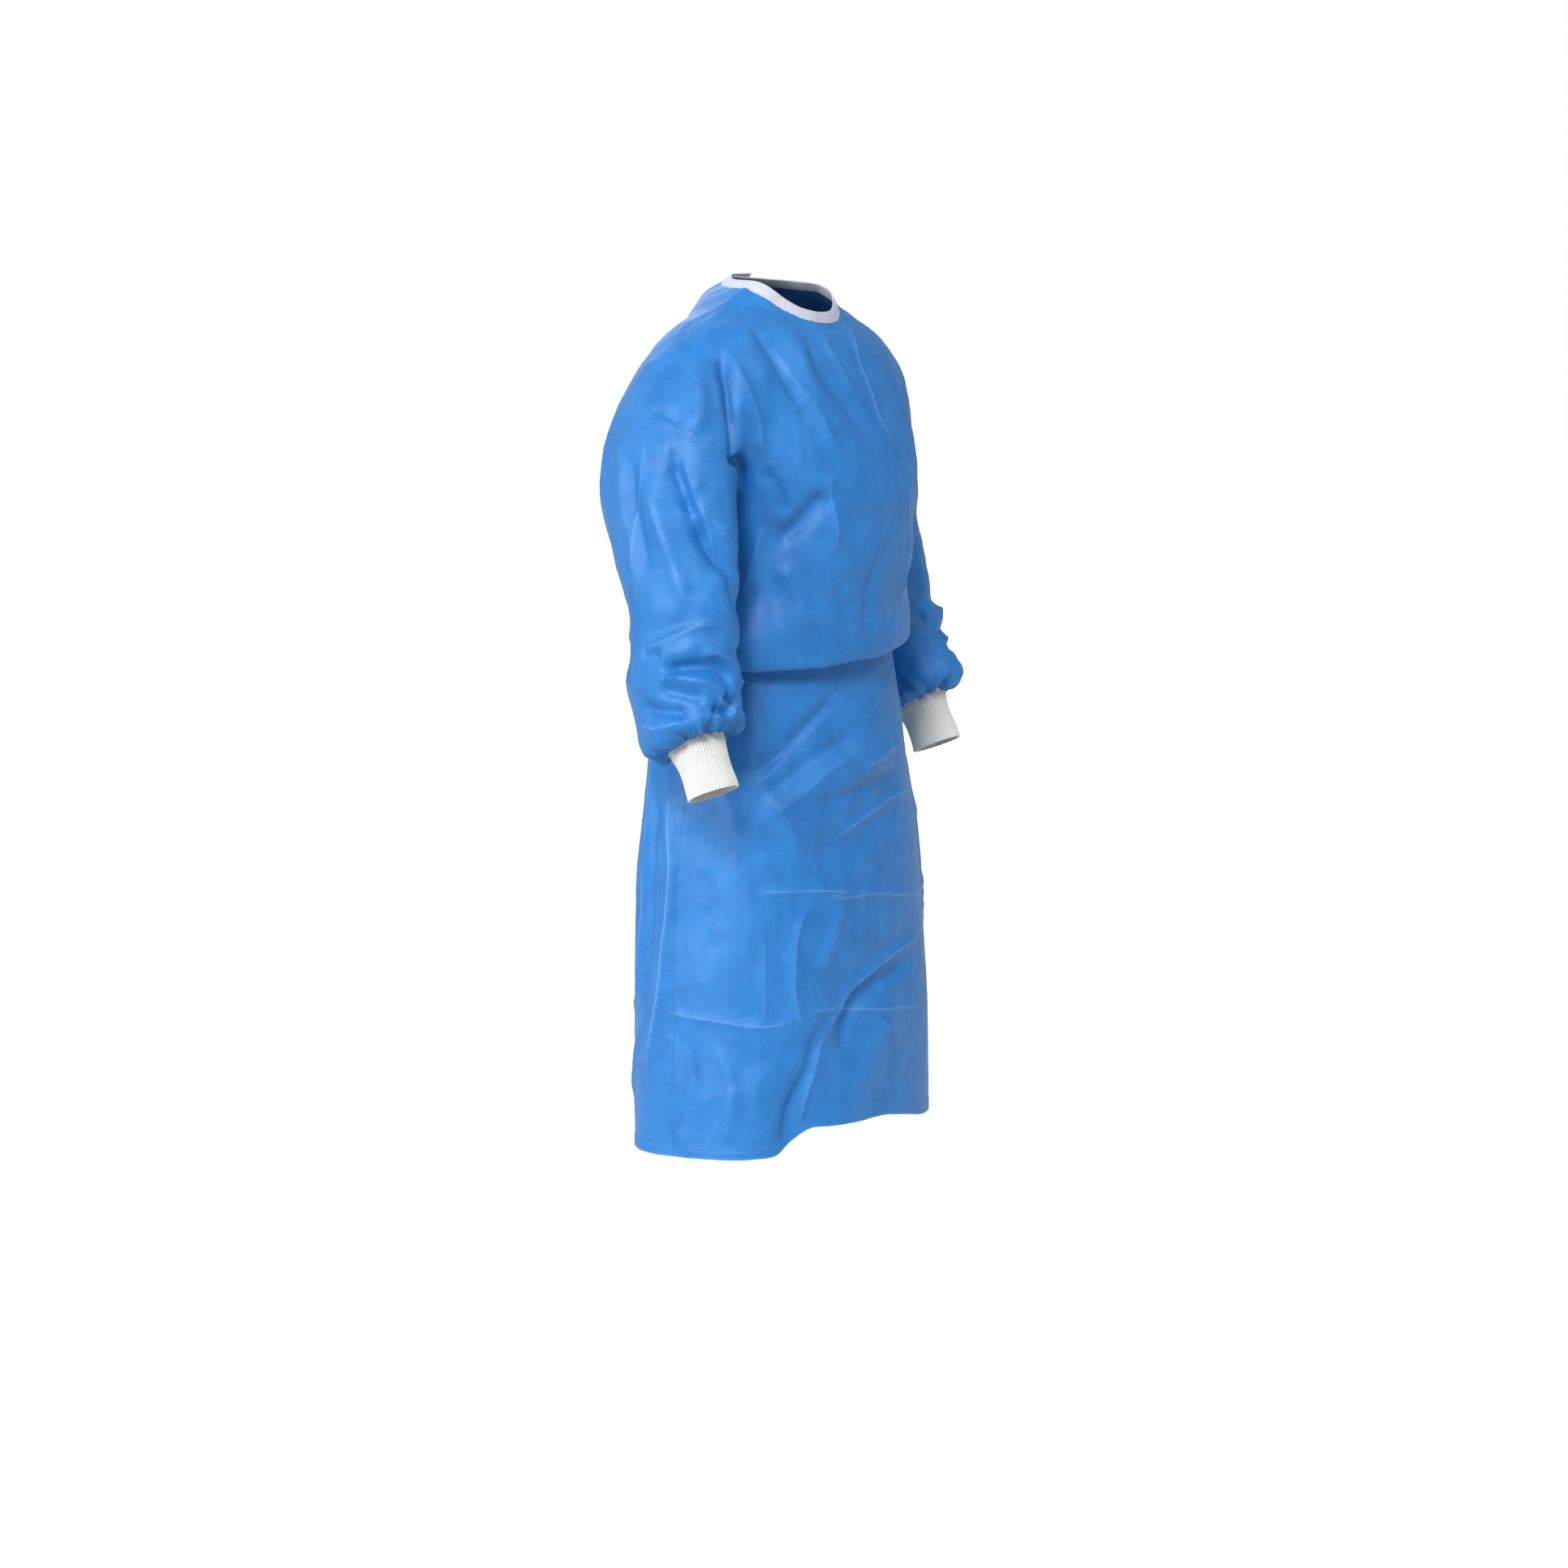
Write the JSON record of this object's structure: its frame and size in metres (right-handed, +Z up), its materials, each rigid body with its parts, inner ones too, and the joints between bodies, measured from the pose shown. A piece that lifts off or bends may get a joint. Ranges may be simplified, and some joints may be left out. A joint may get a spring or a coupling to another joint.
{
  "type": "surgical gown",
  "caption": "Blue nonwoven surgical gown in its worn shape, with long sleeves, knitted cuffs, a bound round neck, lapped backs and a waist tie.",
  "frame": {"origin": "between the wearer's shoulders, at the height of the shoulder seams by the neck, where the worn gown is carried", "axes": "+Z up the wearer's body, the gown's front towards -Y, the wearer's left towards +X"},
  "size_m": [0.6199, 0.2964, 1.0488],
  "materials": {
    "cloth": "matt nonwoven",
    "binding": "matt nonwoven",
    "tie": "matt nonwoven",
    "knit": "ribbed knit"
  },
  "bodies": {
    "root": {"front": "cloth", "back_left": "cloth", "back_right": "cloth", "sleeve_left": "cloth", "sleeve_right": "cloth", "cuff_left": "knit", "cuff_right": "knit", "neck_binding": "binding", "waist_tie": "tie", "tie_knot": "tie", "tie_end_long": "tie", "tie_end_short": "tie"}
  },
  "joints": []
}
